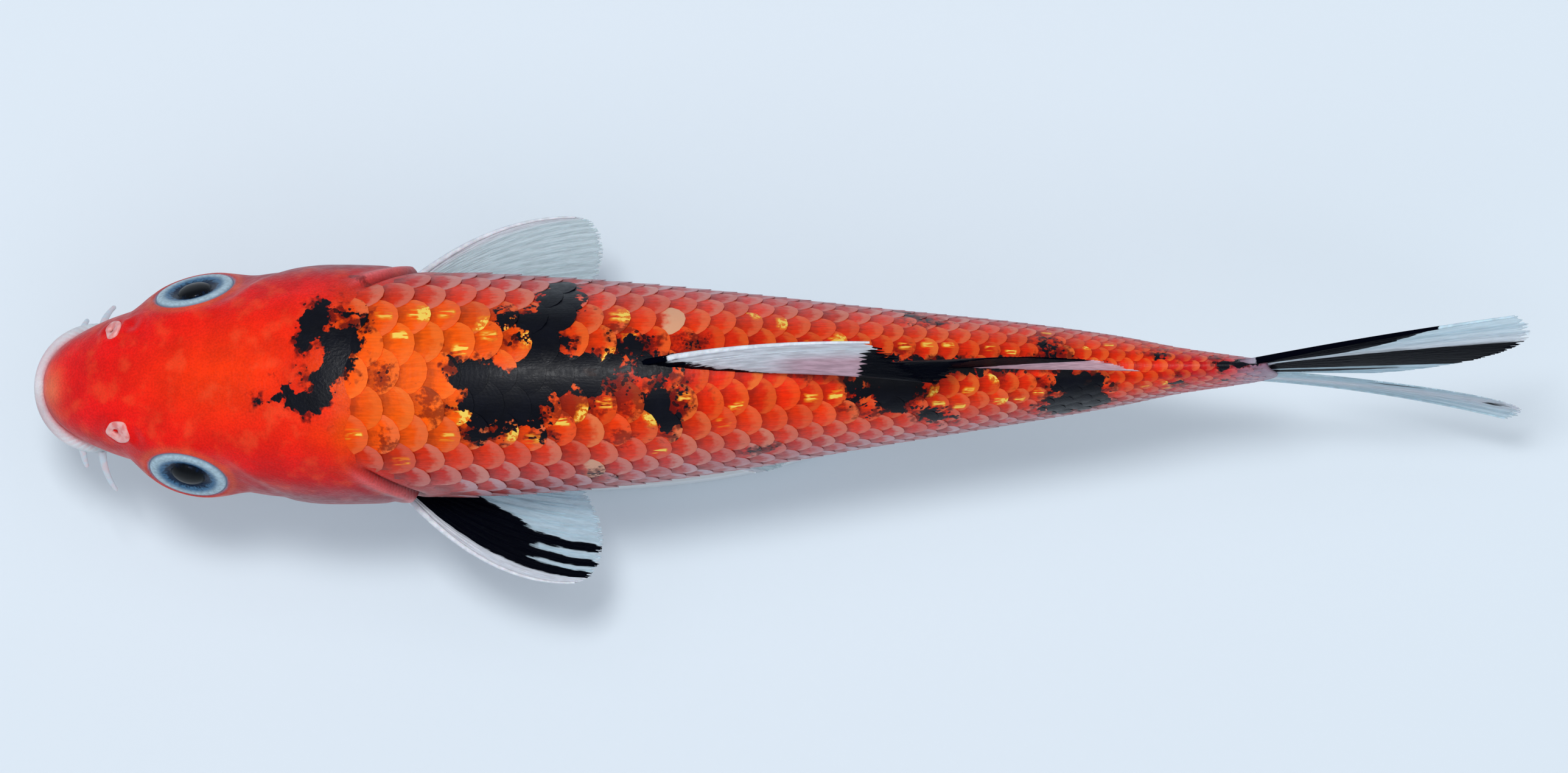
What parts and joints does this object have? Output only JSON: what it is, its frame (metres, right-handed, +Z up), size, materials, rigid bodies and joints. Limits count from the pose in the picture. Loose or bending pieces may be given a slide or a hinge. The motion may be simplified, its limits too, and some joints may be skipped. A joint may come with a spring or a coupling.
{
  "type": "koi carp",
  "caption": "Young koi carp swimming level, red head and orange scaled body with black patches, translucent fins and a forked tail, on a low stand.",
  "frame": {"origin": "middle of the stand's underside, on the floor", "axes": "+X from the fish's head to its tail, +Y to the fish's right side, +Z up"},
  "size_m": [0.1821, 0.0449, 0.0719],
  "materials": {
    "head_skin": "smooth, wet red skin with no scales",
    "body_skin": "wet orange-red scales with black patches",
    "lip": "moist pale pinkish-grey skin",
    "fin_pale": "thin translucent fin with fine rays",
    "fin_dark": "fin with black and white rays",
    "eye": "clear dome over a pale iris and a black pupil",
    "stand_base": "pale grey powder coat",
    "stand_rod": "brushed"
  },
  "bodies": {
    "root": {"head": "head_skin", "upper_lip": "lip", "lower_jaw": "lip", "gill_cover_left": "head_skin", "gill_cover_right": "head_skin", "trunk_front": "body_skin", "trunk_rear": "body_skin", "tail_stalk": "body_skin", "dorsal_fin": "fin_dark", "anal_fin": "fin_pale", "tail_fin_upper": "fin_dark", "tail_fin_lower": "fin_pale", "pectoral_fin_left": "fin_dark", "pectoral_fin_right": "fin_pale", "pelvic_fin_left": "fin_pale", "pelvic_fin_right": "fin_pale", "eye_left": "eye", "eye_right": "eye", "barbel_front_left": "lip", "barbel_front_right": "lip", "barbel_rear_left": "lip", "barbel_rear_right": "lip", "nostril_flap_left": "lip", "nostril_flap_right": "lip", "stand_base": "stand_base", "stand_rod_front": "stand_rod", "stand_rod_rear": "stand_rod"}
  },
  "joints": []
}
